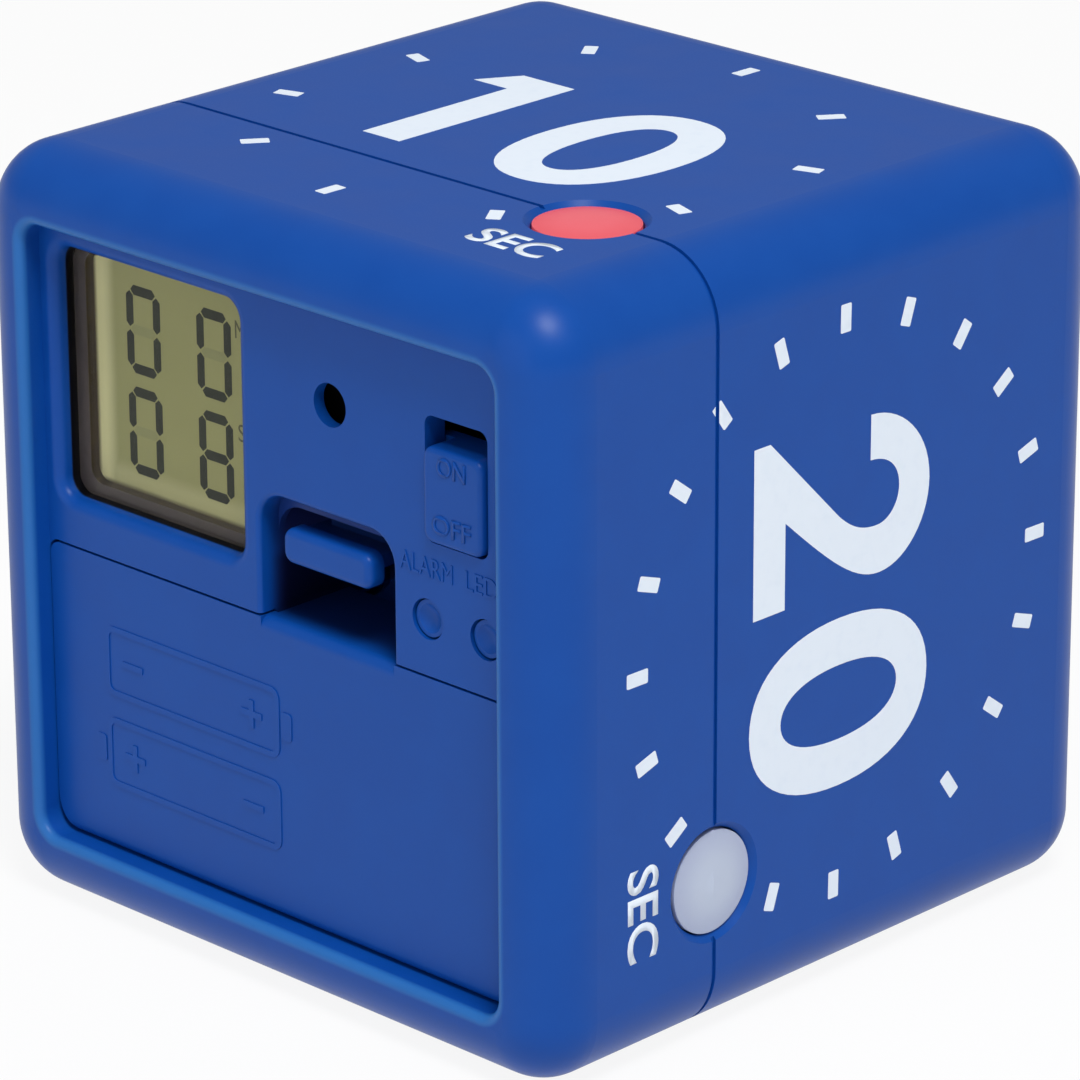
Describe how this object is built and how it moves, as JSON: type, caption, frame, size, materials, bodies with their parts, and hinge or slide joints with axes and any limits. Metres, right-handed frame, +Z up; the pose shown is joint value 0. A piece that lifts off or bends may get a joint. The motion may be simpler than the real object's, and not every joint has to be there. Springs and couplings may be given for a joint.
{
  "type": "digital cube timer",
  "caption": "Cube-shaped digital timer with a sunk display face, slide switch, push buttons, latched battery door and an indicator lamp on each timing face.",
  "frame": {"origin": "centre of the bottom face of the cube, where it rests", "axes": "+X to the right along the display face as seen from the front, +Y into the cube away from the display face, +Z up"},
  "size_m": [0.06, 0.06, 0.06],
  "materials": {
    "case_plastic": "satin moulded blue",
    "clear_window": "clear moulded",
    "lcd_glass": "olive display glass",
    "white_plastic": "plain moulded",
    "connector_rubber": "layered strip",
    "board": "green circuit board",
    "pin_brass": "plated",
    "black_plastic": "plain",
    "plated_steel": "nickel plated",
    "lamp_lit": "milky lens lit red",
    "lamp_milky": "milky lens, unlit",
    "cell_sleeve": "plain printed sleeve"
  },
  "bodies": {
    "case": {"front_case": "case_plastic", "rear_case": "case_plastic", "display_window": "clear_window", "display_gasket": "connector_rubber", "lcd_cell": "lcd_glass", "lcd_frame": "white_plastic", "connector_strips": "connector_rubber", "panel_board": "board", "main_board": "board", "link_pins": "pin_brass", "controller_blob": "black_plastic", "crystal": "plated_steel", "smd_parts": "black_plastic", "buzzer": "black_plastic", "switch_can": "plated_steel", "tact_switches": "black_plastic", "lamp_lens_top": "lamp_lit", "lamp_lens_right": "lamp_milky", "lamp_lens_bottom": "lamp_milky", "lamp_lens_left": "lamp_milky", "led_chips": "white_plastic", "tilt_cage": "black_plastic", "tilt_lid": "black_plastic", "cell_upper": "cell_sleeve", "cell_lower": "cell_sleeve", "contact_bridge": "plated_steel", "contact_plus": "plated_steel", "contact_minus": "plated_steel", "contact_springs": "plated_steel", "case_screws": "plated_steel", "main_board_screws": "plated_steel", "panel_board_screws": "plated_steel"},
    "door": {"battery_door": "case_plastic"},
    "latch": {"door_latch": "case_plastic"},
    "slider": {"switch_knob": "case_plastic", "switch_lever": "white_plastic"},
    "alarm_key": {"alarm_button": "case_plastic", "alarm_plunger": "white_plastic"},
    "led_key": {"led_button": "case_plastic", "led_plunger": "white_plastic"},
    "ball": {"tilt_ball": "plated_steel"}
  },
  "joints": [
    {"name": "door_swing", "type": "hinge", "parent": "case", "child": "door", "pos_m": [0, -0.02725, 0.0063], "axis": [1, 0, 0], "range_deg": [0, 50], "deforming": ["door_latch"]},
    {"name": "latch_press", "type": "hinge", "parent": "door", "child": "latch", "pos_m": [0.00565, -0.0193, 0.0357], "axis": [1, 0, 0], "range_deg": [0, 13], "stiffness_Nm_per_rad": 0.05},
    {"name": "switch_slide", "type": "slide", "parent": "case", "child": "slider", "axis": [0, 0, 1], "range_m": [0, 0.002]},
    {"name": "alarm_press", "type": "slide", "parent": "case", "child": "alarm_key", "axis": [0, 1, 0], "range_m": [0, 0.0004], "stiffness_N_per_m": 400},
    {"name": "led_press", "type": "slide", "parent": "case", "child": "led_key", "axis": [0, 1, 0], "range_m": [0, 0.0004], "stiffness_N_per_m": 400},
    {"name": "tilt_roll", "type": "hinge", "parent": "case", "child": "ball", "pos_m": [0, -0.00755, 0.024], "axis": [0, 1, 0], "continuous": true}
  ]
}
